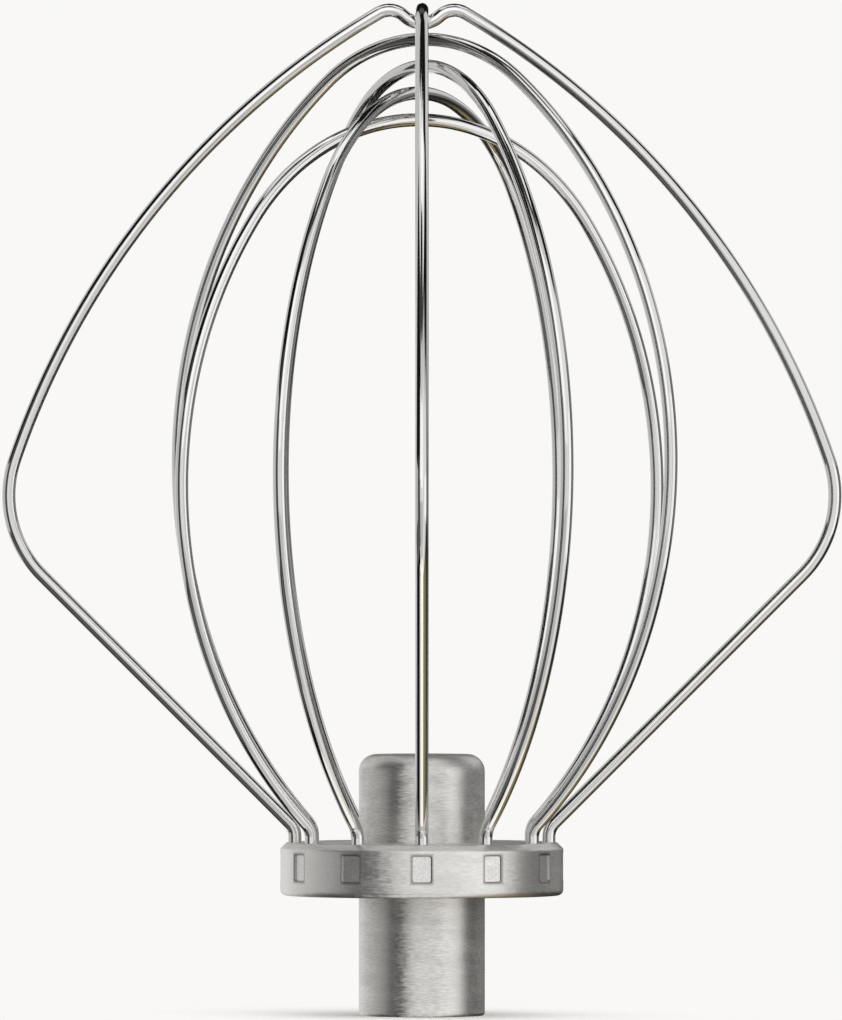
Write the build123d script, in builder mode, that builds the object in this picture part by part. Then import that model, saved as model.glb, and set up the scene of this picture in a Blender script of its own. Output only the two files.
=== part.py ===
from build123d import *
from math import cos, radians, sin, sqrt, tan
import os

# Six-wire whisk for a tilt-head stand mixer, standing on the open mouth of its hub.
# Millimetres. The origin is the centre of the mouth and +Z runs up through the wire cage.
# A plan angle is measured round +Z from the front (-Y) towards the right (+X).

# Hub sleeve: a tube closed at the top
sleeve_diameter = 19.0
sleeve_length = 39.4
sleeve_top_round = 2.6
mouth_round = 0.5

# Socket in the sleeve for the mixer's shaft and the pin across it
shaft_diameter = 12.7
shaft_clearance = 0.3
socket_depth = 32.0
mouth_lead_in = 0.6
pin_diameter = 4.0
pin_clearance = 0.3
pin_length = 16.4
pin_end_clearance = 0.6
pin_entry_angle = 0.0
locking_groove_height = 15.0
locking_turn = 80.0
locking_seat_depth = 2.0

# Collar pressed on the sleeve
collar_diameter = 42.7
collar_height = 8.0
collar_underside_height = 18.1
collar_top_chamfer = 0.95
collar_edge_round = 0.45
collar_bottom_round = 0.9
collar_clearance = 0.04

# Holes in the collar's top for the wire ends, and the marks where each is staked from the rim
hole_rim_inset = 2.2
hole_depth = 6.0
hole_clearance = 0.1
stake_width = 3.1
stake_height = 4.2
stake_depth = 0.3
stake_corner_round = 0.5
stake_rise = 0.35

# Wire, and the bend where each one leaves the collar
wire_diameter = 2.0
bend_rise = 2.1
bend_radius = 3.0

# Outer loops: kites with a leaning straight, an elbow, a long flank and a crown.
# Every rise is from the collar's top to the middle of the wire.
outer_half_width = 62.3
outer_lean_angle = 45.0
outer_elbow_radius = 17.0
outer_flank_radius = 125.0
outer_crown_radius = 20.3
outer_crown_rise = 125.6
plain_plan_angle = 0.0
notched_plan_angle = 90.0

# Notch in the crown of one outer loop, which the other crosses over
notch_half_span = 4.9
notch_shoulder_radius = 3.25
notch_shoulder_drop = 0.1
crossing_gap = 0.05

# Inner loops: egg shapes nested under the outer crowns, the highest first
inner_plan_angles = (60.0, 30.0, 150.0, 120.0)
inner_half_widths = (42.9, 42.9, 42.1, 41.4)
inner_widest_rises = (57.4, 56.3, 55.4, 53.6)
inner_crown_radii = (25.4, 30.4, 34.5, 35.1)
gap_under_outer_loops = 0.45
gap_between_inner_loops = 2.05

# Worked out from the sizes above
sleeve_radius = sleeve_diameter / 2
socket_radius = (shaft_diameter + shaft_clearance) / 2
pin_slot_width = pin_diameter + pin_clearance
pin_slot_radius = (pin_length + pin_end_clearance) / 2
locking_groove_top = locking_groove_height + pin_slot_width
collar_radius = collar_diameter / 2
collar_bore_radius = sleeve_radius + collar_clearance
collar_top_height = collar_underside_height + collar_height
wire_end_count = 2 * (2 + len(inner_plan_angles))
hole_radius = (wire_diameter + hole_clearance) / 2
hole_circle_radius = collar_radius - hole_rim_inset
hole_floor_height = collar_top_height - hole_depth
stake_centre_height = collar_underside_height + collar_height / 2 + stake_rise
bend_height = collar_top_height + bend_rise
outer_crown_height = collar_top_height + outer_crown_rise
notch_dip_height = outer_crown_height - wire_diameter - crossing_gap
first_inner_crown_height = notch_dip_height - wire_diameter - gap_under_outer_loops
inner_crown_step = wire_diameter + gap_between_inner_loops


def plan_direction(plan_angle):
    """Level direction outwards from the hub's axis at a plan angle."""
    turn = radians(plan_angle)
    return Vector(sin(turn), -cos(turn), 0)


def upright_plane(plan_angle):
    """Upright plane through the hub's axis, with x as the radius and y as the height."""
    outwards = plan_direction(plan_angle)
    return Plane((0, 0, 0), x_dir=outwards, z_dir=outwards.cross(Vector(0, 0, 1)))


def rim_plane(plan_angle):
    """Plane that touches the collar's rim at a stake mark, facing outwards."""
    outwards = plan_direction(plan_angle)
    centre = outwards * collar_radius + Vector(0, 0, stake_centre_height)
    return Plane(centre, x_dir=Vector(0, 0, 1).cross(outwards), z_dir=outwards)


def outer_corners(section):
    """Corners of a turned section that lie on its largest radius, from the bottom up."""
    return section.vertices().group_by(Axis.X)[-1].sort_by(Axis.Y)


def top_corners(section):
    """Corners of a turned section that lie on its top, from the axis outwards."""
    return section.vertices().group_by(Axis.Y)[-1].sort_by(Axis.X)


def point_towards(centre, target, distance):
    """Point at a distance from a centre on the line to a target."""
    return centre + (target - centre).normalized() * distance


def inner_loop_steps(half_width, widest_height, crown_radius, crown_height):
    """Steps of half an inner loop: foot, bend, lower flank, upper flank and crown."""
    reach = half_width - hole_circle_radius
    lower_radius = (reach**2 + (widest_height - bend_height) ** 2) / (2 * reach)
    lower_flank = Vector(half_width - lower_radius, widest_height)
    bend_x = hole_circle_radius + bend_radius
    bend_drop = sqrt((lower_radius + bend_radius) ** 2 - (bend_x - lower_flank.X) ** 2)
    bend = Vector(bend_x, widest_height - bend_drop)
    rise = crown_height - widest_height
    upper_radius = (half_width**2 + rise**2 - 2 * rise * crown_radius) / (2 * (half_width - crown_radius))
    upper_flank = Vector(half_width - upper_radius, widest_height)
    crown = Vector(0, crown_height - crown_radius)
    return [
        ("line", Vector(hole_circle_radius, bend.Y)),
        ("arc", point_towards(lower_flank, bend, lower_radius)),
        ("arc", Vector(half_width, widest_height)),
        ("arc", point_towards(upper_flank, crown, upper_radius)),
        ("arc", Vector(0, crown_height)),
    ]


def outer_loop_steps(top, top_radius):
    """Steps of half an outer loop up to the top arc, whose centre and radius are given."""
    lean = radians(outer_lean_angle)
    elbow_x = outer_half_width - outer_elbow_radius
    straight_length = (elbow_x + outer_elbow_radius * cos(lean) - hole_circle_radius) / sin(lean)
    elbow = Vector(elbow_x, bend_height + straight_length * cos(lean) + outer_elbow_radius * sin(lean))
    bend_length = bend_radius * tan(lean / 2)

    # The flank arc holds both the elbow's and the top's circles against its inside
    to_elbow = outer_flank_radius - outer_elbow_radius
    to_top = outer_flank_radius - top_radius
    span = (top - elbow).length
    along = (to_elbow**2 - to_top**2 + span**2) / (2 * span)
    across = sqrt(to_elbow**2 - along**2)
    direction = (top - elbow).normalized()
    flank = elbow + direction * along + Vector(-direction.Y, direction.X) * across
    return [
        ("line", Vector(hole_circle_radius, bend_height - bend_length)),
        ("arc", Vector(hole_circle_radius + bend_length * sin(lean), bend_height + bend_length * cos(lean))),
        ("line", elbow + Vector(cos(lean), -sin(lean)) * outer_elbow_radius),
        ("arc", point_towards(flank, elbow, outer_flank_radius)),
        ("arc", point_towards(flank, top, outer_flank_radius)),
    ]


def plain_loop_steps():
    """Steps of half the plain outer loop, which ends in a round crown."""
    crown = Vector(0, outer_crown_height - outer_crown_radius)
    return outer_loop_steps(crown, outer_crown_radius) + [("arc", Vector(0, outer_crown_height))]


def notched_loop_steps():
    """Steps of half the notched outer loop, which ends in a shoulder and a dip."""
    shoulder_height = outer_crown_height - notch_shoulder_drop
    shoulder = Vector(notch_half_span, shoulder_height - notch_shoulder_radius)
    depth = shoulder_height - notch_dip_height
    dip_radius = (notch_half_span**2 + depth**2) / (2 * depth) - notch_shoulder_radius
    dip = Vector(0, notch_dip_height + dip_radius)
    return outer_loop_steps(shoulder, notch_shoulder_radius) + [
        ("arc", point_towards(shoulder, dip, notch_shoulder_radius)),
        ("arc", Vector(0, notch_dip_height)),
    ]


def draw_half_loop(side, steps):
    """Draw half a loop on the current plane, from its foot in the collar up to its crown."""
    start = (side * hole_circle_radius, hole_floor_height)
    for shape, joint in steps:
        end = (side * joint.X, joint.Y)
        if shape == "line":
            last = Line(start, end)
        else:
            last = TangentArc(start, end, tangent=last % 1)
        start = end


def make_wire(name, plan_angle, steps):
    """Make one bent wire, from its foot on one side over the crown to its foot on the other."""
    foot = plan_direction(plan_angle) * hole_circle_radius + Vector(0, 0, hole_floor_height)
    with BuildPart() as wire:
        with BuildLine(upright_plane(plan_angle)):
            draw_half_loop(1, steps)
            draw_half_loop(-1, steps)
        with BuildSketch(Plane(foot)):
            Circle(wire_diameter / 2)
        sweep()
    wire.part.label = name
    export_step(wire.part, f"parts/{name}.step")


os.makedirs("parts", exist_ok=True)

# Hub sleeve: the wall turned in one, then two pin slots, each with a locking groove and a seat at its end
with BuildPart() as hub_sleeve:
    with BuildSketch(Plane.XZ) as sleeve_section:
        with BuildLine():
            Polyline(
                (socket_radius, mouth_lead_in),
                (socket_radius + mouth_lead_in, 0),
                (sleeve_radius, 0),
                (sleeve_radius, sleeve_length),
                (0, sleeve_length),
                (0, socket_depth),
                (socket_radius, socket_depth),
                close=True,
            )
        make_face()
        fillet(outer_corners(sleeve_section)[-1], sleeve_top_round)
        fillet(outer_corners(sleeve_section)[0], mouth_round)
    revolve(axis=Axis.Z)
    with BuildSketch(Plane.XY):
        Circle(pin_slot_radius)
        Rectangle(pin_slot_width, 2 * pin_slot_radius, rotation=pin_entry_angle, mode=Mode.INTERSECT)
    extrude(amount=locking_groove_top, mode=Mode.SUBTRACT)
    with BuildSketch(Plane.XY.offset(locking_groove_height - locking_seat_depth)):
        Circle(pin_slot_radius)
        Rectangle(
            pin_slot_width,
            2 * pin_slot_radius,
            rotation=pin_entry_angle + locking_turn,
            mode=Mode.INTERSECT,
        )
    extrude(amount=pin_slot_width + locking_seat_depth, mode=Mode.SUBTRACT)
    for side in (0, 180):
        with BuildSketch(upright_plane(pin_entry_angle + side)):
            with Locations((pin_slot_radius / 2, locking_groove_height + pin_slot_width / 2)):
                Rectangle(pin_slot_radius, pin_slot_width)
        revolve(axis=Axis.Z, revolution_arc=locking_turn, mode=Mode.SUBTRACT)
hub_sleeve.part.label = "hub_sleeve"
export_step(hub_sleeve.part, "parts/hub_sleeve.step")

# Collar: a turned ring with a blind hole for each wire end and a stake mark beside each hole
with BuildPart() as wire_collar:
    with BuildSketch(Plane.XZ) as collar_section:
        with BuildLine():
            Polyline(
                (collar_bore_radius, collar_underside_height),
                (collar_radius, collar_underside_height),
                (collar_radius, collar_top_height),
                (collar_bore_radius, collar_top_height),
                close=True,
            )
        make_face()
        chamfer(outer_corners(collar_section)[-1], collar_top_chamfer)
        fillet(top_corners(collar_section)[-1], collar_edge_round)
        fillet(outer_corners(collar_section)[-1], collar_edge_round)
        fillet(outer_corners(collar_section)[0], collar_bottom_round)
    revolve(axis=Axis.Z)
    with BuildSketch(Plane.XY.offset(collar_top_height)):
        with PolarLocations(hole_circle_radius, wire_end_count):
            Circle(hole_radius)
    extrude(amount=-hole_depth, mode=Mode.SUBTRACT)
    for index in range(wire_end_count):
        with BuildSketch(rim_plane(index * 360 / wire_end_count)):
            RectangleRounded(stake_width, stake_height, stake_corner_round)
        extrude(amount=-stake_depth, mode=Mode.SUBTRACT)
wire_collar.part.label = "wire_collar"
export_step(wire_collar.part, "parts/wire_collar.step")

# Wires: two outer loops, then the nest of inner ones
make_wire("outer_wire_plain", plain_plan_angle, plain_loop_steps())
make_wire("outer_wire_notched", notched_plan_angle, notched_loop_steps())
for index, plan_angle in enumerate(inner_plan_angles):
    make_wire(
        f"inner_wire_{index + 1}",
        plan_angle,
        inner_loop_steps(
            inner_half_widths[index],
            collar_top_height + inner_widest_rises[index],
            inner_crown_radii[index],
            first_inner_crown_height - index * inner_crown_step,
        ),
    )
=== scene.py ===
"""Looks of a six-wire stand mixer whisk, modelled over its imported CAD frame.

Metres. The whisk stands on the open mouth of its hub, +Z runs up through the wire cage,
and the camera looks at the front from -Y. A plan angle is measured round +Z from the
front towards the right, and a lean is measured from upright, positive away from the axis.
"""

import logging
import math
from dataclasses import dataclass, field
from enum import Enum
from typing import Any, Callable, ClassVar, Iterable, Optional, Union

import bmesh
import bpy
from mathutils import Matrix, Vector


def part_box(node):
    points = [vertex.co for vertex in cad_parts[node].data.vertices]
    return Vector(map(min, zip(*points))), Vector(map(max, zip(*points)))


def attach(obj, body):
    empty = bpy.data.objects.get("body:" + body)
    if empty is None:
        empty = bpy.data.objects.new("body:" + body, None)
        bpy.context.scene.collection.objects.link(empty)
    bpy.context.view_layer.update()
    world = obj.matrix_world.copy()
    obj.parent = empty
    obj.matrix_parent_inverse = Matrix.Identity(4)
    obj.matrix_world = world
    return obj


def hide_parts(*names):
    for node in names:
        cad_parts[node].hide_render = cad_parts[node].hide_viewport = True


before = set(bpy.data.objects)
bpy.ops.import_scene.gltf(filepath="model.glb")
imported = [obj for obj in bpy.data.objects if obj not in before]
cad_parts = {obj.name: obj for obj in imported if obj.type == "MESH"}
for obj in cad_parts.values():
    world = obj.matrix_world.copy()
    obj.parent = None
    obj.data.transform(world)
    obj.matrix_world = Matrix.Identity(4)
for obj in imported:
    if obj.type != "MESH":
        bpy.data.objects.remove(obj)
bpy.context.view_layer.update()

LOG = logging.getLogger("whisk")
MM = 0.001
UP = Vector((0.0, 0.0, 1.0))
ORIGIN = Vector((0.0, 0.0, 0.0))
BODY = "root"
WELD_DISTANCE = 0.002 * MM
SHARP_ANGLE = math.radians(20.0)
CROWN_LEAN = math.radians(-90.0)
NOISE_MIDDLE = 0.5

Colour = tuple[float, float, float]
Span = tuple[float, float]
Value = Union[float, bpy.types.NodeSocket]


class Slot(Enum):
    """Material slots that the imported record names."""

    HUB = "brushed_hub"
    WIRE = "polished_wire"


class Crown(Enum):
    """How the top of an outer loop ends."""

    ROUND = "round"
    NOTCHED = "notched"


def plan_direction(plan_angle: float) -> Vector:
    """Level direction away from the hub's axis.

    Args:
        plan_angle: Degrees round +Z from the front towards the right.

    Returns:
        A unit vector.
    """
    turn = math.radians(plan_angle)
    return Vector((math.sin(turn), -math.cos(turn), 0.0))


def raised_direction(plan_angle: float, rise: float) -> Vector:
    """Direction away from the origin, raised from level.

    Args:
        plan_angle: Degrees round +Z from the front towards the right.
        rise: Degrees up from level.

    Returns:
        A unit vector.
    """
    turn = math.radians(rise)
    return plan_direction(plan_angle) * math.cos(turn) + UP * math.sin(turn)


def edges_at(verts: Iterable[bmesh.types.BMVert]) -> list[bmesh.types.BMEdge]:
    """Edges that end at some vertices, each once."""
    return list(dict.fromkeys(edge for vert in verts for edge in vert.link_edges))


def mesh_piece(name: str, mesh: bmesh.types.BMesh, material: bpy.types.Material) -> bpy.types.Object:
    """Close a finished bmesh into a smooth-shaded object at the origin.

    Args:
        name: The piece's name.
        mesh: Its bmesh, which is freed.
        material: Its finish.

    Returns:
        The new object, linked to the scene.
    """
    bmesh.ops.remove_doubles(mesh, verts=mesh.verts[:], dist=WELD_DISTANCE)
    bmesh.ops.recalc_face_normals(mesh, faces=mesh.faces[:])
    for face in mesh.faces:
        face.smooth = True
    for edge in mesh.edges:
        edge.smooth = edge.calc_face_angle(0.0) < SHARP_ANGLE
    data = bpy.data.meshes.new(name)
    mesh.to_mesh(data)
    mesh.free()
    data.materials.append(material)
    piece = bpy.data.objects.new(name, data)
    bpy.context.scene.collection.objects.link(piece)
    return piece


class NodeGraph:
    """A material's or a world's node tree, with short calls to add and join nodes."""

    MIX_FACTOR: ClassVar[int] = 0
    MIX_FIRST_COLOUR: ClassVar[int] = 6
    MIX_SECOND_COLOUR: ClassVar[int] = 7
    MIX_RESULT_COLOUR: ClassVar[int] = 2

    def __init__(self, owner: Union[bpy.types.Material, bpy.types.World]) -> None:
        """Empty the owner's node tree.

        Args:
            owner: The material or world.
        """
        owner.use_nodes = True
        self.tree = owner.node_tree
        self.tree.nodes.clear()

    def add(self, kind: str, inputs: Optional[dict[Union[str, int], Any]] = None,
            **settings: Any) -> bpy.types.Node:
        """Add a node.

        Args:
            kind: The node's type name.
            inputs: Values or sockets for its inputs, by name or number.
            settings: Its own properties.

        Returns:
            The new node.
        """
        node = self.tree.nodes.new(kind)
        for key, value in settings.items():
            setattr(node, key, value)
        for key, value in (inputs or {}).items():
            self.feed(node.inputs[key], value)
        return node

    def feed(self, target: bpy.types.NodeSocket, value: Any) -> None:
        """Set an input to a value, or link it to a socket.

        Args:
            target: The input.
            value: A number, a vector, a colour or a socket.
        """
        if isinstance(value, bpy.types.NodeSocket):
            self.tree.links.new(value, target)
        elif target.type == "RGBA":
            target.default_value = (*value, 1.0)
        else:
            target.default_value = value

    def math(self, operation: str, first: Value, second: Value) -> bpy.types.NodeSocket:
        """Work out a number.

        Args:
            operation: The Math node's operation.
            first: Its first number.
            second: Its second number.

        Returns:
            The result's socket.
        """
        return self.add("ShaderNodeMath", {0: first, 1: second}, operation=operation).outputs["Value"]

    def vector(self, operation: str, first: Any, second: Any = (0.0, 0.0, 0.0)) -> bpy.types.NodeSocket:
        """Work out a vector.

        Args:
            operation: The Vector Math node's operation.
            first: Its first vector.
            second: Its second vector, or a number's socket that stands for all three parts.

        Returns:
            The result's socket.
        """
        return self.add("ShaderNodeVectorMath", {0: first, 1: second}, operation=operation).outputs["Vector"]

    def place(self) -> bpy.types.NodeSocket:
        """Place on the piece in metres, in the frame that all pieces share."""
        return self.add("ShaderNodeTexCoord").outputs["Object"]

    def reach(self) -> bpy.types.NodeSocket:
        """Distance from the hub's axis in metres."""
        level = self.vector("MULTIPLY", self.place(), (1.0, 1.0, 0.0))
        return self.add("ShaderNodeVectorMath", {0: level}, operation="LENGTH").outputs["Value"]

    def noise(self, where: bpy.types.NodeSocket, scale: float, octaves: float) -> bpy.types.NodeSocket:
        """Read cloudy noise.

        Args:
            where: Place that the noise is read at.
            scale: How fast it changes.
            octaves: How many finer layers it has.

        Returns:
            A number from 0 to 1.
        """
        node = self.add("ShaderNodeTexNoise", {"Vector": where, "Scale": scale, "Detail": octaves})
        return node.outputs["Fac"]

    def attribute(self, name: str) -> bpy.types.Node:
        """Read a piece's own attribute."""
        return self.add("ShaderNodeAttribute", attribute_name=name)

    def scaled(self, value: bpy.types.NodeSocket, span: Span,
               to_span: Span = (0.0, 1.0)) -> bpy.types.NodeSocket:
        """Carry a number from one range to another, held at the ends.

        Args:
            value: The number's socket.
            span: Start and end of its range.
            to_span: What the start and the end become.

        Returns:
            The result's socket.
        """
        inputs = {
            "Value": value,
            "From Min": span[0],
            "From Max": span[1],
            "To Min": to_span[0],
            "To Max": to_span[1],
        }
        return self.add("ShaderNodeMapRange", inputs).outputs["Result"]

    def mixed(self, factor: Value, first: Any, second: Any) -> bpy.types.NodeSocket:
        """Mix two colours.

        Args:
            factor: Share of the second colour.
            first: A colour or its socket.
            second: A colour or its socket.

        Returns:
            The mixed colour's socket.
        """
        inputs = {
            self.MIX_FACTOR: factor,
            self.MIX_FIRST_COLOUR: first,
            self.MIX_SECOND_COLOUR: second,
        }
        return self.add("ShaderNodeMix", inputs, data_type="RGBA").outputs[self.MIX_RESULT_COLOUR]

    def show(self, shader: bpy.types.Node) -> None:
        """Make a shader the material's surface."""
        self.add("ShaderNodeOutputMaterial", {"Surface": shader.outputs[0]})


@dataclass(frozen=True)
class BrushedSteel:
    """Turned steel with fine scratches that run round the hub's axis.

    A per-metre number says how fast a pattern changes along the hub's section, and a
    round-per-metre one says how fast it changes round the hub.
    """

    # Attribute names: painted shade on the walls of the stake marks, and their pressed floors.
    PAINTED_SHADE: ClassVar[str] = "painted_shade"
    PRESSED: ClassVar[str] = "pressed"

    pale: Colour = (0.985, 0.967, 0.93)
    worn: Colour = (0.60, 0.59, 0.57)
    collar_worn: Colour = (0.74, 0.73, 0.71)
    collar_start: Span = (9.6 * MM, 10.5 * MM)
    tone_span: Span = (0.35, 0.65)
    rough_span: Span = (0.32, 0.68)
    roughness: Span = (0.39, 0.51)
    scratches_per_metre: float = 6000.0
    scratches_round_per_metre: float = 950.0
    scratch_octaves: float = 4.0
    scratch_share: float = 0.64
    scratch_sway: float = 0.25
    scratch_depth: float = 0.004 * MM
    scratch_strength: float = 0.12
    bands_per_metre: float = 520.0
    bands_round_per_metre: float = 126.0
    band_octaves: float = 2.0
    pressed_pale: Colour = (0.97, 0.96, 0.94)
    pressed_worn: Colour = (0.79, 0.78, 0.765)
    pressed_grains_per_metre: float = 3600.0
    pressed_octaves: float = 2.0
    # Painted shade: a near-black colour that darkens the walls of the stake marks where shade falls in the
    # recess, and how much of it they get.
    painted_shade_colour: Colour = (0.06, 0.06, 0.055)
    painted_shade_share: float = 0.56
    stretch: float = 0.55
    stretch_turn: float = 0.25

    def streaks(self, graph: NodeGraph, round_per_metre: float, per_metre: float,
                octaves: float) -> bpy.types.NodeSocket:
        """Noise drawn out round the axis, with no seam.

        Args:
            graph: The material's nodes.
            round_per_metre: How fast the noise changes round the axis.
            per_metre: How fast it changes along a section.
            octaves: How many finer layers it has.

        Returns:
            A number from 0 to 1.
        """
        split = graph.add("ShaderNodeSeparateXYZ", {"Vector": graph.place()}).outputs
        along = graph.math("SUBTRACT", split["Z"], graph.reach())
        section = graph.add("ShaderNodeCombineXYZ", {"X": split["X"], "Y": split["Y"], "Z": along})
        rates = (round_per_metre, round_per_metre, per_metre)
        return graph.noise(graph.vector("MULTIPLY", section.outputs["Vector"], rates), 1.0, octaves)

    def swayed(self, graph: NodeGraph, scratches: bpy.types.NodeSocket) -> bpy.types.NodeSocket:
        """Lean the surface a little round the axis from scratch to scratch.

        Args:
            graph: The material's nodes.
            scratches: The scratches, from 0 to 1.

        Returns:
            A normal for the shader.
        """
        side = graph.vector("NORMALIZE", graph.vector("CROSS_PRODUCT", tuple(UP), graph.place()))
        lean = graph.math("MULTIPLY", graph.math("SUBTRACT", scratches, NOISE_MIDDLE), self.scratch_sway)
        normal = graph.add("ShaderNodeNewGeometry").outputs["Normal"]
        return graph.vector("NORMALIZE", graph.vector("ADD", normal, graph.vector("MULTIPLY", side, lean)))

    def tone(self, graph: NodeGraph, grain: bpy.types.NodeSocket) -> bpy.types.NodeSocket:
        """Colour of the brushed faces, the pressed floors of the marks, and the painted shade on their
        walls.

        Args:
            graph: The material's nodes.
            grain: The brushing, from 0 to 1.

        Returns:
            The colour's socket.
        """
        worn = graph.mixed(graph.scaled(graph.reach(), self.collar_start), self.worn, self.collar_worn)
        brushed = graph.mixed(graph.scaled(grain, self.tone_span), worn, self.pale)
        grains = graph.noise(graph.place(), self.pressed_grains_per_metre, self.pressed_octaves)
        floor = graph.mixed(graph.scaled(grains, self.tone_span), self.pressed_worn, self.pressed_pale)
        marked = graph.mixed(graph.attribute(self.PRESSED).outputs["Fac"], brushed, floor)
        # Painted shade: the walls of the stake marks are darkened towards a near-black colour, standing in
        # for the shade in the recess.
        painted_shade = graph.math("MULTIPLY", graph.attribute(self.PAINTED_SHADE).outputs["Fac"], self.painted_shade_share)
        return graph.mixed(painted_shade, marked, self.painted_shade_colour)

    def material(self) -> bpy.types.Material:
        """Make the finish's material.

        Returns:
            The material, for pieces that stand on the hub's axis.
        """
        material = bpy.data.materials.new("brushed_steel")
        graph = NodeGraph(material)
        scratches = self.streaks(
            graph, self.scratches_round_per_metre, self.scratches_per_metre, self.scratch_octaves
        )
        bands = self.streaks(graph, self.bands_round_per_metre, self.bands_per_metre, self.band_octaves)
        grain = graph.math(
            "ADD",
            graph.math("MULTIPLY", scratches, self.scratch_share),
            graph.math("MULTIPLY", bands, 1.0 - self.scratch_share),
        )
        bump = graph.add(
            "ShaderNodeBump",
            {
                "Strength": self.scratch_strength,
                "Distance": self.scratch_depth,
                "Height": scratches,
                "Normal": self.swayed(graph, scratches),
            },
        )
        round_axis = graph.add("ShaderNodeTangent", direction_type="RADIAL", axis="Z")
        shader = graph.add(
            "ShaderNodeBsdfPrincipled",
            {
                "Base Color": self.tone(graph, grain),
                "Metallic": 1.0,
                "Roughness": graph.scaled(grain, self.rough_span, self.roughness),
                "Anisotropic": self.stretch,
                "Anisotropic Rotation": self.stretch_turn,
                "Tangent": round_axis.outputs[0],
                "Normal": bump.outputs[0],
            },
        )
        graph.show(shader)
        return material


@dataclass(frozen=True)
class PolishedWire:
    """Bright drawn wire with faint lines along its length."""

    bright: Colour = (0.80, 0.795, 0.785)
    dull: Colour = (0.66, 0.655, 0.645)
    tone_span: Span = (0.3, 0.6)
    rough_span: Span = (0.35, 0.7)
    roughness: Span = (0.045, 0.135)
    lines_round: float = 5.0
    lines_per_metre: float = 22.0
    line_octaves: float = 4.0
    waver_per_metre: float = 260.0
    waver_octaves: float = 1.0
    waver_depth: float = 0.02 * MM
    waver_strength: float = 0.1

    def material(self) -> bpy.types.Material:
        """Make the finish's material.

        Returns:
            The material, for pieces that carry the wire bender's grain.
        """
        material = bpy.data.materials.new("polished_wire")
        graph = NodeGraph(material)
        grain = graph.attribute(WireBender.GRAIN).outputs["Vector"]
        drawn = graph.vector("MULTIPLY", grain, (self.lines_round, self.lines_round, self.lines_per_metre))
        lines = graph.noise(drawn, 1.0, self.line_octaves)
        bump = graph.add(
            "ShaderNodeBump",
            {
                "Strength": self.waver_strength,
                "Distance": self.waver_depth,
                "Height": graph.noise(graph.place(), self.waver_per_metre, self.waver_octaves),
            },
        )
        shader = graph.add(
            "ShaderNodeBsdfPrincipled",
            {
                "Base Color": graph.mixed(graph.scaled(lines, self.tone_span), self.dull, self.bright),
                "Metallic": 1.0,
                "Roughness": graph.scaled(lines, self.rough_span, self.roughness),
                "Normal": bump.outputs[0],
            },
        )
        graph.show(shader)
        return material


@dataclass
class WireBender:
    """Feeds round wire up from a foot and bends it in one upright plane.

    The mesh carries a grain attribute: the place round the wire and the length fed so far.
    """

    GRAIN: ClassVar[str] = "grain"

    plan_angle: float
    wire_radius: float
    foot: Vector
    sides: int = 32
    flatness: float = 0.004 * MM
    mesh: bmesh.types.BMesh = field(init=False)
    grain: bmesh.types.BMLayerItem = field(init=False)
    ring: list[bmesh.types.BMEdge] = field(init=False)
    outwards: Vector = field(init=False)
    turn_axis: Vector = field(init=False)
    place: Vector = field(init=False)
    lean: float = field(init=False, default=0.0)
    fed: float = field(init=False, default=0.0)

    def __post_init__(self) -> None:
        """Set the wire's first end in its hole."""
        self.mesh = bmesh.new()
        self.grain = self.mesh.verts.layers.float_vector.new(self.GRAIN)
        self.outwards = plan_direction(self.plan_angle)
        self.turn_axis = UP.cross(self.outwards)
        self.place = self.foot.copy()
        start = Matrix.Translation(self.spot(self.foot))
        facing = Matrix.Rotation(math.radians(self.plan_angle), 4, "Z")
        end = bmesh.ops.create_circle(
            self.mesh,
            cap_ends=True,
            radius=self.wire_radius,
            segments=self.sides,
            matrix=start @ facing,
        )["verts"]
        for vert in end:
            offset = (vert.co - self.spot(self.foot)) / self.wire_radius
            vert[self.grain] = Vector((offset.dot(self.outwards), offset.dot(self.turn_axis), 0.0))
        self.ring = edges_at(end)

    def spot(self, place: Vector) -> Vector:
        """Point of the row's frame at a radius and a height in the wire's plane."""
        return self.outwards * place.x + UP * place.y

    def heading(self) -> Vector:
        """Direction of feed, as a radius and a height."""
        return Vector((math.sin(self.lean), math.cos(self.lean)))

    def grow(self, length: float, shift: Vector, centre: Vector, turn: float) -> None:
        """Carry the open end on by one step.

        Args:
            length: Wire that the step takes.
            shift: How far the end slides.
            centre: Point that it turns about.
            turn: Radians that it turns by.
        """
        made = bmesh.ops.spin(
            self.mesh,
            geom=self.ring,
            cent=centre,
            axis=self.turn_axis,
            dvec=shift,
            angle=turn,
            steps=1,
            use_merge=False,
            use_duplicate=False,
        )
        self.ring = [part for part in made["geom_last"] if isinstance(part, bmesh.types.BMEdge)]
        self.fed += length
        for vert in {vert for edge in self.ring for vert in edge.verts}:
            round_it = vert[self.grain]
            vert[self.grain] = Vector((round_it.x, round_it.y, self.fed))

    def straight(self, length: float) -> None:
        """Feed a straight length.

        Args:
            length: Wire that it takes.
        """
        run = self.heading() * length
        self.grow(length, self.spot(run), ORIGIN, 0.0)
        self.place += run

    def bend(self, radius: float, turn: float) -> None:
        """Bend the wire round a former.

        Args:
            radius: Radius of the wire's middle line.
            turn: Change of lean in radians.
        """
        side = math.copysign(1.0, turn)
        across = Vector((math.cos(self.lean), -math.sin(self.lean))) * side
        centre = self.place + across * radius
        finest = 2 * math.acos(1 - self.flatness / radius)
        steps = max(2, math.ceil(abs(turn) / finest))
        for _ in range(steps):
            self.grow(radius * abs(turn) / steps, ORIGIN, self.spot(centre), turn / steps)
        self.lean += turn
        self.place = centre - Vector((math.cos(self.lean), -math.sin(self.lean))) * side * radius

    def cut(self) -> bmesh.types.BMesh:
        """Close the last end and hand over the mesh."""
        bmesh.ops.edgeloop_fill(self.mesh, edges=self.ring)
        return self.mesh


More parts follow.
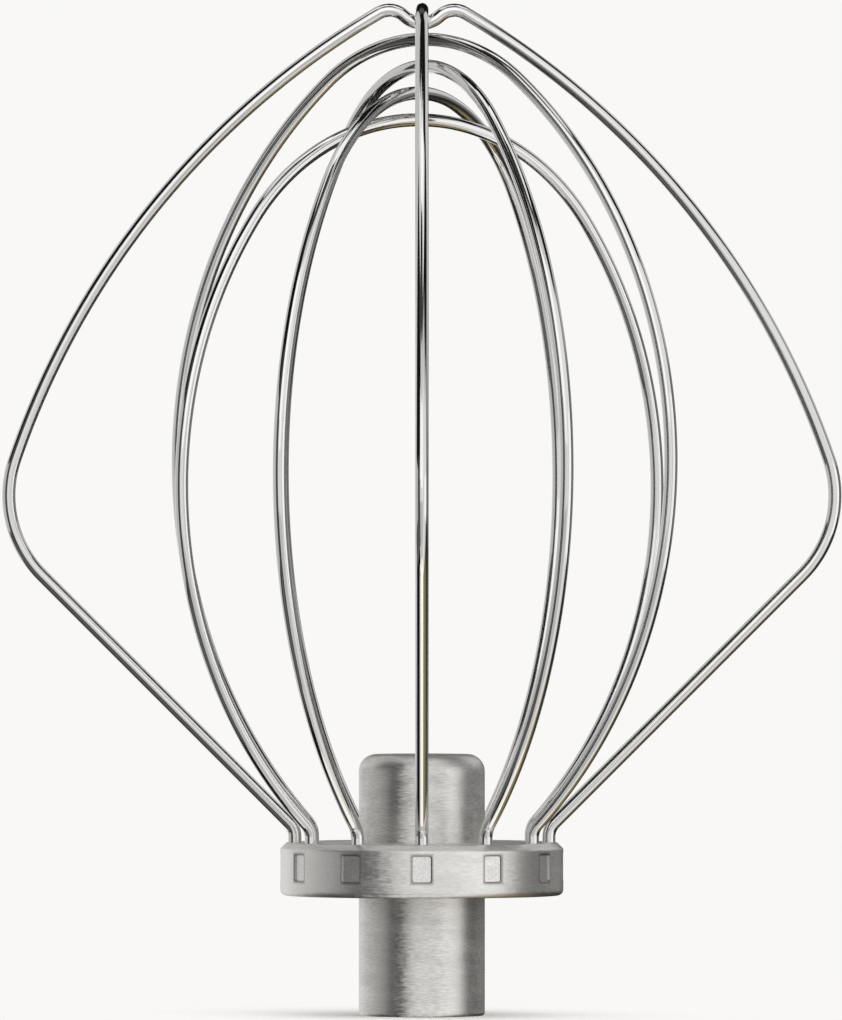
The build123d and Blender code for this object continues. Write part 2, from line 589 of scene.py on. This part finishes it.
@dataclass(frozen=True)
class Feed:
    """A straight length in a bending list."""

    length: float

    def form(self, bender: WireBender) -> None:
        """Feed the length."""
        bender.straight(self.length)


@dataclass(frozen=True)
class Bend:
    """A bend in a bending list."""

    radius: float
    turn: float

    def form(self, bender: WireBender) -> None:
        """Make the bend."""
        bender.bend(self.radius, self.turn)


Step = Union[Feed, Bend]


def lean_between(centre: Vector, other: Vector) -> float:
    """Lean of the wire where its arc about one centre runs into its arc about another.

    Args:
        centre: Centre of the arc that bends towards the axis.
        other: Centre of the arc that it meets.

    Returns:
        The lean in radians.
    """
    line = other - centre
    return math.atan2(-line.y, line.x)


@dataclass
class WireLoop:
    """One wire loop of the cage, from its foot in the collar over the crown to its other foot."""

    node: str
    plan_angle: float
    wire_radius: float = 1.0 * MM
    foot_radius: float = 19.15 * MM
    bend_rise: float = 2.1 * MM
    bend_radius: float = 3.0 * MM
    foot: Vector = field(init=False)
    top: float = field(init=False)
    collar_top: float = field(init=False)
    bend_height: float = field(init=False)

    def __post_init__(self) -> None:
        """Take the loop's levels from its CAD node and the collar's."""
        low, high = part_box(self.node)
        self.foot = Vector((self.foot_radius, low.z))
        self.top = high.z - self.wire_radius
        self.collar_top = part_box("wire_collar")[1].z
        self.bend_height = self.collar_top + self.bend_rise

    def half_steps(self) -> list[Step]:
        """Bending list from the foot to the crown, which each kind of loop gives."""
        raise NotImplementedError

    def build(self, finish: bpy.types.Material) -> bpy.types.Object:
        """Bend the wire and set it in the frame.

        Args:
            finish: Its material.

        Returns:
            The finished piece.
        """
        bender = WireBender(self.plan_angle, self.wire_radius, self.foot)
        half = self.half_steps()
        for step in half + half[::-1]:
            step.form(bender)
        piece = mesh_piece(f"{self.node}_bent", bender.cut(), finish)
        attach(piece, BODY)
        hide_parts(self.node)
        LOG.info("%s: %.0f mm of wire", piece.name, bender.fed / MM)
        return piece


@dataclass
class InnerLoop(WireLoop):
    """Egg-shaped loop: a lower flank, an upper flank and a crown, each one arc."""

    half_width: float = 42.0 * MM
    widest_rise: float = 55.0 * MM
    crown_radius: float = 30.0 * MM

    def half_steps(self) -> list[Step]:
        """Work out the tangent arcs of one half.

        Returns:
            The bending list from the foot to the crown.
        """
        widest = self.collar_top + self.widest_rise
        reach = self.half_width - self.foot.x
        lower_radius = (reach**2 + (widest - self.bend_height) ** 2) / (2 * reach)
        lower = Vector((self.half_width - lower_radius, widest))
        bend_x = self.foot.x + self.bend_radius
        drop = math.sqrt((lower_radius + self.bend_radius) ** 2 - (bend_x - lower.x) ** 2)
        bend = Vector((bend_x, widest - drop))
        rise = self.top - widest
        upper_radius = self.half_width**2 + rise**2 - 2 * rise * self.crown_radius
        upper_radius /= 2 * (self.half_width - self.crown_radius)
        upper = Vector((self.half_width - upper_radius, widest))
        crown = Vector((0.0, self.top - self.crown_radius))
        outwards = lean_between(lower, bend)
        over = lean_between(upper, crown)
        return [
            Feed(bend.y - self.foot.y),
            Bend(self.bend_radius, outwards),
            Bend(lower_radius, -outwards),
            Bend(upper_radius, over),
            Bend(self.crown_radius, CROWN_LEAN - over),
        ]


@dataclass(frozen=True)
class CrownArc:
    """Arc that an outer loop's flank runs into, and the bends from there to the axis."""

    centre: Vector
    radius: float
    end_lean: float
    rest: tuple[Bend, ...] = ()


@dataclass
class OuterLoop(WireLoop):
    """Kite-shaped loop: a leaning straight, an elbow, a long flank and a crown."""

    crown: Crown = Crown.ROUND
    half_width: float = 62.3 * MM
    lean: float = math.radians(45.0)
    elbow_radius: float = 17.0 * MM
    flank_radius: float = 125.0 * MM
    crown_radius: float = 20.3 * MM
    shoulder_span: float = 4.9 * MM
    shoulder_radius: float = 3.25 * MM
    dip_drop: float = 1.95 * MM

    def crown_arc(self) -> CrownArc:
        """Work out how the loop ends at the axis.

        Returns:
            The arc that the flank runs into, and the bends after it.
        """
        if self.crown is Crown.ROUND:
            return CrownArc(Vector((0.0, self.top - self.crown_radius)), self.crown_radius, CROWN_LEAN)
        shoulder = Vector((self.shoulder_span, self.top - self.shoulder_radius))
        dip_radius = (self.shoulder_span**2 + self.dip_drop**2) / (2 * self.dip_drop) - self.shoulder_radius
        dip = Vector((0.0, self.top - self.dip_drop + dip_radius))
        down = lean_between(shoulder, dip)
        return CrownArc(shoulder, self.shoulder_radius, down, (Bend(dip_radius, CROWN_LEAN - down),))

    def half_steps(self) -> list[Step]:
        """Work out the straights and tangent arcs of one half.

        Returns:
            The bending list from the foot to the crown.
        """
        arc = self.crown_arc()
        elbow_x = self.half_width - self.elbow_radius
        corner_run = elbow_x + self.elbow_radius * math.cos(self.lean) - self.foot.x
        corner_run /= math.sin(self.lean)
        elbow_rise = corner_run * math.cos(self.lean) + self.elbow_radius * math.sin(self.lean)
        elbow = Vector((elbow_x, self.bend_height + elbow_rise))
        bend_run = self.bend_radius * math.tan(self.lean / 2)

        # The flank's circle touches the elbow's and the crown arc's from around them, so its
        # centre lies where two circles drawn about their centres cross, on the side of the axis.
        to_elbow = self.flank_radius - self.elbow_radius
        to_top = self.flank_radius - arc.radius
        span = (arc.centre - elbow).length
        along = (to_elbow**2 - to_top**2 + span**2) / (2 * span)
        away = math.sqrt(to_elbow**2 - along**2)
        line = (arc.centre - elbow).normalized()
        flank = elbow + line * along + Vector((-line.y, line.x)) * away

        past_elbow = lean_between(flank, elbow)
        past_flank = lean_between(flank, arc.centre)
        return [
            Feed(self.bend_height - bend_run - self.foot.y),
            Bend(self.bend_radius, self.lean),
            Feed(corner_run - bend_run),
            Bend(self.elbow_radius, past_elbow - self.lean),
            Bend(self.flank_radius, past_flank - past_elbow),
            Bend(arc.radius, arc.end_lean - past_flank),
            *arc.rest,
        ]


@dataclass
class WireCage:
    """The nest of six loops, the two outer ones crossing at the top."""

    finish: PolishedWire = PolishedWire()

    def loops(self) -> list[WireLoop]:
        """List the loops with their own sizes.

        Returns:
            The six loops, from the outside in.
        """
        return [
            OuterLoop("outer_wire_plain", 0.0, crown=Crown.ROUND),
            OuterLoop("outer_wire_notched", 90.0, crown=Crown.NOTCHED),
            InnerLoop(
                "inner_wire_1", 60.0,
                half_width=42.9 * MM, widest_rise=57.4 * MM, crown_radius=25.4 * MM,
            ),
            InnerLoop(
                "inner_wire_2", 30.0,
                half_width=42.9 * MM, widest_rise=56.3 * MM, crown_radius=30.4 * MM,
            ),
            InnerLoop(
                "inner_wire_3", 150.0,
                half_width=42.1 * MM, widest_rise=55.4 * MM, crown_radius=34.5 * MM,
            ),
            InnerLoop(
                "inner_wire_4", 120.0,
                half_width=41.4 * MM, widest_rise=53.6 * MM, crown_radius=35.1 * MM,
            ),
        ]

    def build(self) -> list[bpy.types.Object]:
        """Bend and dress all six wires."""
        material = self.finish.material()
        return [loop.build(material) for loop in self.loops()]


@dataclass
class Collar:
    """Collar that holds the wires: a turned ring with a blind hole and a stake mark for each end."""

    node: str = "wire_collar"
    places: int = 12
    steps_per_place: int = 12
    window_steps: int = 4
    sleeve_clearance: float = 0.04 * MM
    top_chamfer: float = 0.95 * MM
    edge_round: float = 0.45 * MM
    bottom_round: float = 0.9 * MM
    bore_ease: float = 0.08 * MM
    hole_circle: float = 19.15 * MM
    hole_radius: float = 1.05 * MM
    hole_depth: float = 6.0 * MM
    hole_margin: float = 0.01 * MM
    stake_width: float = 3.1 * MM
    stake_height: float = 4.2 * MM
    stake_depth: float = 0.3 * MM
    stake_lip: float = 0.12 * MM
    stake_lip_depth: float = 0.06 * MM
    stake_wall: float = 0.08 * MM
    stake_corner: float = 0.5 * MM
    stake_rise: float = 0.35 * MM
    stake_margin: float = 0.35 * MM
    bottom_segments: int = 8
    edge_segments: int = 5
    bore_segments: int = 2
    corner_segments: int = 4
    hole_segments: int = 24
    radius: float = field(init=False)
    bottom: float = field(init=False)
    top: float = field(init=False)
    bore: float = field(init=False)
    place_angle: float = field(init=False)
    window_angle: float = field(init=False)
    stake_centre: float = field(init=False)
    stake_window: float = field(init=False)
    hole_window: float = field(init=False)
    chamfer_ease: float = field(init=False)

    def __post_init__(self) -> None:
        """Take the ring's radius and levels from the CAD nodes."""
        low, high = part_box(self.node)
        self.radius = high.x
        self.bottom = low.z
        self.top = high.z
        self.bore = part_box("hub_sleeve")[1].x + self.sleeve_clearance
        self.place_angle = 2 * math.pi / self.places
        self.window_angle = self.place_angle * self.window_steps / self.steps_per_place
        self.stake_centre = (self.bottom + self.top) / 2 + self.stake_rise
        self.stake_window = self.stake_height / 2 + self.stake_margin
        self.hole_window = self.hole_radius + self.hole_margin
        # The round on a corner that turns by 45 degrees starts this far from the corner.
        self.chamfer_ease = self.edge_round * math.tan(math.pi / 8)

    def draw_section(self, mesh: bmesh.types.BMesh) -> None:
        """Draw the ring's section at one side of a place, with its corners eased.

        Args:
            mesh: The collar's bmesh.
        """
        outwards = plan_direction(-math.degrees(self.place_angle / 2))
        rows = {
            "bore_bottom": (self.bore, self.bottom),
            "rim_bottom": (self.radius, self.bottom),
            "stake_low": (self.radius, self.stake_centre - self.stake_window),
            "stake_high": (self.radius, self.stake_centre + self.stake_window),
            "rim_top": (self.radius, self.top - self.top_chamfer),
            "chamfer_top": (self.radius - self.top_chamfer, self.top),
            "hole_outer": (self.hole_circle + self.hole_window, self.top),
            "hole_inner": (self.hole_circle - self.hole_window, self.top),
            "bore_top": (self.bore, self.top),
        }
        corner = {
            name: mesh.verts.new(outwards * reach + UP * height) for name, (reach, height) in rows.items()
        }
        mesh.faces.new(list(corner.values()))
        for names, offset, segments in (
            (("rim_bottom",), self.bottom_round, self.bottom_segments),
            (("rim_top", "chamfer_top"), self.chamfer_ease, self.edge_segments),
            (("bore_bottom", "bore_top"), self.bore_ease, self.bore_segments),
        ):
            bmesh.ops.bevel(
                mesh,
                geom=[corner[name] for name in names],
                affect="VERTICES",
                offset=offset,
                segments=segments,
                profile=0.5,
                material=-1,
            )
        bmesh.ops.delete(mesh, geom=mesh.faces[:], context="FACES_ONLY")

    def open_window(self, mesh: bmesh.types.BMesh,
                    inside: Callable[[Vector], bool]) -> list[bmesh.types.BMEdge]:
        """Take out the middle faces of a place.

        Args:
            mesh: The collar's bmesh.
            inside: Whether a face's centre lies between the window's rows.

        Returns:
            The opening's edges.
        """
        half = self.window_angle / 2
        window = []
        for face in mesh.faces:
            centre = face.calc_center_median()
            if abs(math.atan2(centre.x, -centre.y)) < half and inside(centre):
                window.append(face)
        rim = [
            edge
            for face in window
            for edge in face.edges
            if sum(side in window for side in edge.link_faces) == 1
        ]
        bmesh.ops.delete(mesh, geom=window, context="FACES")
        return rim

    def drill(self, mesh: bmesh.types.BMesh) -> None:
        """Sink the blind hole of one place into the top.

        Args:
            mesh: The collar's bmesh.
        """
        opening = self.open_window(
            mesh,
            lambda centre: centre.z > self.top - self.bore_ease / 2
            and abs(centre.xy.length - self.hole_circle) < self.hole_window,
        )
        mouth = bmesh.ops.create_circle(
            mesh,
            radius=self.hole_radius,
            segments=self.hole_segments,
            matrix=Matrix.Translation(plan_direction(0.0) * self.hole_circle + UP * self.top),
        )["verts"]
        lip = edges_at(mouth)
        bmesh.ops.bridge_loops(mesh, edges=opening + lip)
        wall = bmesh.ops.extrude_edge_only(mesh, edges=lip)["geom"]
        floor = [part for part in wall if isinstance(part, bmesh.types.BMVert)]
        bmesh.ops.translate(mesh, vec=-UP * self.hole_depth, verts=floor)
        bmesh.ops.contextual_create(mesh, geom=floor)

    def strike(self, mesh: bmesh.types.BMesh) -> None:
        """Strike the stake mark of one place into the rim.

        Args:
            mesh: The collar's bmesh.
        """
        opening = self.open_window(
            mesh,
            lambda centre: abs(centre.z - self.stake_centre) < self.stake_window
            and centre.xy.length > self.radius - self.stake_depth,
        )
        before = set(mesh.faces)
        outwards = plan_direction(0.0)
        upright = Matrix((UP.cross(outwards), UP, outwards)).transposed().to_4x4()
        place = Matrix.Translation(outwards * self.radius + UP * self.stake_centre)
        size = Matrix.Diagonal((self.stake_width, self.stake_height, 1.0, 1.0))
        bmesh.ops.create_grid(mesh, x_segments=1, y_segments=1, size=0.5, matrix=place @ upright @ size)
        mark = (set(mesh.faces) - before).pop()
        bmesh.ops.bevel(
            mesh,
            geom=list(mark.verts),
            affect="VERTICES",
            offset=self.stake_corner,
            segments=self.corner_segments,
            profile=0.5,
            material=-1,
        )
        mark = (set(mesh.faces) - before).pop()
        if mark.normal.dot(outwards) < 0:
            mark.normal_flip()
        # The outline wraps round the rim, and a gentle lip and a steep wall lead down to the floor.
        for vert in mark.verts:
            vert.co.xy *= self.radius / vert.co.xy.length
        for slope, sink in (
            (self.stake_lip, self.stake_lip_depth),
            (self.stake_wall, self.stake_depth - self.stake_lip_depth),
        ):
            bmesh.ops.inset_region(
                mesh,
                faces=[mark],
                thickness=slope,
                depth=-sink,
                use_boundary=True,
            )
        wall = [face for face in mesh.faces if face not in before and face != mark]
        outline = [edge for face in wall for edge in face.edges if edge.is_boundary]
        # The walls of the mark are flagged for painted shade, and its floor for the pressed grain.
        for layer, faces in ((BrushedSteel.PAINTED_SHADE, wall), (BrushedSteel.PRESSED, [mark])):
            share = mesh.loops.layers.float[layer]
            for corner in (corner for face in faces for corner in face.loops):
                corner[share] = 1.0
        # The floor of the mark is flat.
        bmesh.ops.scale(
            mesh,
            vec=(1.0, 0.0, 1.0),
            space=Matrix.Translation(outwards * (self.stake_depth - self.radius)),
            verts=list(mark.verts),
        )
        bmesh.ops.bridge_loops(mesh, edges=opening + outline)

    def build(self, finish: bpy.types.Material) -> bpy.types.Object:
        """Turn one place of the ring, drill and stake it, then repeat it round the axis.

        Args:
            finish: Its material.

        Returns:
            The finished piece.
        """
        mesh = bmesh.new()
        # Corner layers that flag the painted shade on the mark walls and the pressed floors.
        mesh.loops.layers.float.new(BrushedSteel.PAINTED_SHADE)
        mesh.loops.layers.float.new(BrushedSteel.PRESSED)
        self.draw_section(mesh)
        bmesh.ops.spin(
            mesh,
            geom=mesh.verts[:] + mesh.edges[:],
            cent=ORIGIN,
            axis=UP,
            angle=self.place_angle,
            steps=self.steps_per_place,
        )
        self.drill(mesh)
        self.strike(mesh)
        bmesh.ops.spin(
            mesh,
            geom=mesh.verts[:] + mesh.edges[:] + mesh.faces[:],
            cent=ORIGIN,
            axis=UP,
            angle=2 * math.pi - self.place_angle,
            steps=self.places - 1,
            use_duplicate=True,
        )
        piece = mesh_piece(f"{self.node}_staked", mesh, finish)
        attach(piece, BODY)
        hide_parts(self.node)
        LOG.info("%s: %d places", piece.name, self.places)
        return piece


@dataclass
class Hub:
    """Sleeve and collar that hold the wires."""

    finish: BrushedSteel = BrushedSteel()

    def build(self) -> None:
        """Dress the sleeve and build the collar."""
        material = self.finish.material()
        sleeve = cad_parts["hub_sleeve"]
        sleeve.material_slots[0].material = material
        LOG.info("hub_sleeve: dressed")
        Collar().build(material)


@dataclass(frozen=True)
class Panel:
    """Curved studio panel round the whisk, seen only as a reflection in metal.

    The plan range runs round the whisk and the rise range runs up from level, both in degrees.
    """

    name: str
    level: float
    plan: Span
    rise: Span
    tint: Colour = (1.0, 1.0, 1.0)
    radius: float = 2.5
    steps: int = 24

    def build(self) -> bpy.types.Object:
        """Sweep a point up an upright arc, then sweep the arc round the whisk.

        Returns:
            The panel.
        """
        mesh = bmesh.new()
        point = bmesh.ops.create_vert(mesh, co=raised_direction(self.plan[0], self.rise[0]) * self.radius)
        bmesh.ops.spin(
            mesh,
            geom=point["vert"],
            cent=ORIGIN,
            axis=plan_direction(self.plan[0]).cross(UP),
            angle=math.radians(self.rise[1] - self.rise[0]),
            steps=self.steps,
        )
        bmesh.ops.spin(
            mesh,
            geom=mesh.verts[:] + mesh.edges[:],
            cent=ORIGIN,
            axis=UP,
            angle=math.radians(self.plan[1] - self.plan[0]),
            steps=self.steps,
        )
        material = bpy.data.materials.new(self.name)
        graph = NodeGraph(material)
        graph.show(graph.add("ShaderNodeEmission", {"Color": self.tint, "Strength": self.level}))
        panel = mesh_piece(self.name, mesh, material)
        panel.visible_camera = False
        panel.visible_diffuse = False
        panel.visible_shadow = False
        return panel


WARM = (1.0, 0.80, 0.36)
CREAM = (1.0, 0.975, 0.93)
PANELS = (
    Panel("dark_tent", 0.008, (0.0, 360.0), (-90.0, 90.0), radius=2.8),
    Panel("left_wall", 0.65, (-160.0, -102.0), (-29.0, 61.0)),
    Panel("left_wall_back", 0.90, (-180.0, -134.0), (-26.0, 14.0), radius=2.4),
    Panel("left_wall_edge", 0.60, (-102.0, -66.0), (-15.0, 17.0)),
    Panel("left_wall_foot", 0.20, (-160.0, -122.0), (-45.0, -29.0)),
    Panel("left_curtain", 0.07, (-66.0, -33.0), (-18.0, 28.0)),
    Panel("left_curtain_foot", 0.12, (-92.0, -38.0), (-46.0, -18.0)),
    Panel("key_upper", 1.12, (-34.0, -16.0), (14.0, 46.0)),
    Panel("key_left", 0.80, (-31.0, -16.0), (-6.0, 14.0)),
    Panel("key_strip", 1.35, (-16.0, 5.0), (7.0, 46.0)),
    Panel("key_low", 0.90, (-16.0, 22.0), (-6.0, 7.0)),
    Panel("key_lower", 0.62, (-28.0, 24.0), (-46.0, -6.0)),
    Panel("key_right", 1.05, (5.0, 22.0), (7.0, 46.0)),
    Panel("key_gap", 0.76, (22.0, 38.0), (-8.0, 14.0)),
    Panel("key_head", 0.70, (-28.0, 58.0), (46.0, 55.0)),
    Panel("fill_lower", 0.92, (24.0, 58.0), (-62.0, -8.0)),
    Panel("fill_middle", 1.20, (38.0, 80.0), (-16.0, 14.0), radius=2.4),
    Panel("fill_upper", 0.94, (22.0, 62.0), (14.0, 46.0)),
    Panel("fill_edge", 1.00, (62.0, 81.0), (14.0, 36.0)),
    Panel("fill_edge_foot", 0.74, (58.0, 74.0), (-62.0, -16.0), tint=CREAM),
    Panel("floor_front", 0.72, (-42.0, 24.0), (-62.0, -46.0), tint=CREAM),
    Panel("floor_near", 1.15, (-66.0, 74.0), (-73.0, -62.0), tint=CREAM),
    Panel("floor_left", 0.36, (-112.0, -66.0), (-73.0, -62.0), tint=CREAM),
    Panel("floor_spot", 1.30, (-125.0, 110.0), (-90.0, -73.0), tint=CREAM),
    Panel("right_wall", 0.16, (82.0, 118.0), (-8.0, 16.0)),
    Panel("right_wall_head", 0.30, (80.0, 116.0), (16.0, 32.0)),
    Panel("right_wall_foot", 0.03, (76.0, 150.0), (-34.0, -8.0)),
    Panel("right_back_wall", 0.74, (116.0, 160.0), (14.0, 49.0)),
    Panel("right_back_foot", 0.24, (118.0, 160.0), (-8.0, 14.0)),
    Panel("warm_board", 0.32, (76.0, 140.0), (-73.0, -46.0), tint=WARM),
    Panel("warm_board_edge", 0.13, (76.0, 140.0), (-46.0, -34.0), tint=WARM),
    Panel("top_disc", 1.25, (-160.0, 134.0), (76.0, 90.0)),
    Panel("top_left", 0.92, (-125.0, -42.0), (60.0, 76.0)),
    Panel("top_right", 1.05, (28.0, 100.0), (60.0, 76.0)),
    Panel("top_gap", 0.05, (-60.0, 60.0), (50.0, 68.0), radius=2.65),
    Panel("back_strip", 0.09, (150.0, 210.0), (36.0, 48.0), radius=2.65),
)


@dataclass(frozen=True)
class Softbox:
    """Area lamp aimed at the whisk and left out of its reflections.

    It hangs at a plan angle and a rise in degrees, and its sides and distance are in metres.
    """

    name: str
    plan_angle: float
    rise: float
    width: float
    height: float
    radiance: float
    distance: float = 1.4

    def build(self, aim: Vector) -> bpy.types.Object:
        """Hang the lamp.

        Args:
            aim: Point that it faces.

        Returns:
            The lamp's object, linked to the scene.
        """
        lamp = bpy.data.lights.new(self.name, "AREA")
        lamp.shape = "RECTANGLE"
        lamp.size = self.width
        lamp.size_y = self.height
        lamp.energy = self.radiance * math.pi * self.width * self.height
        holder = bpy.data.objects.new(self.name, lamp)
        away = raised_direction(self.plan_angle, self.rise)
        holder.location = aim + away * self.distance
        holder.rotation_euler = away.to_track_quat("Z", "Y").to_euler()
        holder.visible_glossy = False
        bpy.context.scene.collection.objects.link(holder)
        return holder


SOFTBOXES = (
    Softbox("key", 32.0, 35.0, width=0.9, height=1.0, radiance=2.2),
    Softbox("side", -105.0, 25.0, width=0.7, height=1.0, radiance=1.6),
    Softbox("top", 0.0, 80.0, width=0.9, height=0.9, radiance=1.6),
)


@dataclass
class Studio:
    """Pale floor, soft light, panels for the metal to mirror, and the camera."""

    pale: Colour = (0.947, 0.939, 0.922)
    fill: Colour = (0.72, 0.72, 0.72)
    floor_size: float = 12.0
    floor_fade: Span = (0.01, 0.05)
    camera_distance: float = 1.923
    camera_height: float = 65.6 * MM
    aim_height: float = 76.2 * MM
    axis_offset: float = -0.12 * MM
    lens: float = 450.0
    sensor: float = 36.0
    camera_limit: float = 100.0

    def light_world(self) -> None:
        """Give the pale backdrop, and less light than it shows."""
        world = bpy.data.worlds.new("studio")
        bpy.context.scene.world = world
        graph = NodeGraph(world)
        rays = graph.add("ShaderNodeLightPath").outputs
        seen = graph.math("MAXIMUM", rays["Is Camera Ray"], rays["Is Glossy Ray"])
        seen = graph.math("MAXIMUM", seen, rays["Is Transmission Ray"])
        colour = graph.mixed(seen, self.fill, self.pale)
        backdrop = graph.add("ShaderNodeBackground", {"Color": colour, "Strength": 1.0})
        graph.add("ShaderNodeOutputWorld", {"Surface": backdrop.outputs[0]})

    def lay_floor(self) -> None:
        """Lay a floor that takes the shadow near the whisk and fades into the backdrop."""
        mesh = bmesh.new()
        bmesh.ops.create_grid(mesh, x_segments=1, y_segments=1, size=self.floor_size / 2)
        material = bpy.data.materials.new("floor")
        graph = NodeGraph(material)
        fade = graph.scaled(graph.reach(), self.floor_fade)
        paper = graph.add("ShaderNodeBsdfDiffuse", {"Color": self.pale})
        glow = graph.add("ShaderNodeEmission", {"Color": self.pale, "Strength": 1.0})
        graph.show(graph.add("ShaderNodeMixShader", {0: fade, 1: paper.outputs[0], 2: glow.outputs[0]}))
        floor = mesh_piece("floor", mesh, material)
        floor.visible_glossy = False

    def hang_panels(self) -> None:
        """Hang the panels that the polished metal mirrors, and nothing else sees."""
        for panel in PANELS:
            panel.build()

    def hang_lamps(self) -> None:
        """Hang the softboxes, which light the floor."""
        for softbox in SOFTBOXES:
            softbox.build(UP * self.aim_height)

    def set_camera(self) -> None:
        """Set the camera where the photograph was taken from."""
        data = bpy.data.cameras.new("camera")
        data.lens = self.lens
        data.sensor_width = self.sensor
        data.clip_end = self.camera_limit
        camera = bpy.data.objects.new("camera", data)
        camera.location = Vector((self.axis_offset, -self.camera_distance, self.camera_height))
        aim = Vector((self.axis_offset, 0.0, self.aim_height)) - camera.location
        camera.rotation_euler = aim.to_track_quat("-Z", "Y").to_euler()
        bpy.context.scene.collection.objects.link(camera)
        bpy.context.scene.camera = camera

    def build(self) -> None:
        """Set up the whole studio."""
        bpy.context.scene.view_settings.view_transform = "Standard"
        self.light_world()
        self.lay_floor()
        self.hang_panels()
        self.hang_lamps()
        self.set_camera()


def main() -> None:
    """Build the whisk and its studio."""
    logging.basicConfig(level=logging.INFO, format="%(name)s %(message)s")
    Hub().build()
    WireCage().build()
    Studio().build()


if __name__ == "__main__":
    main()
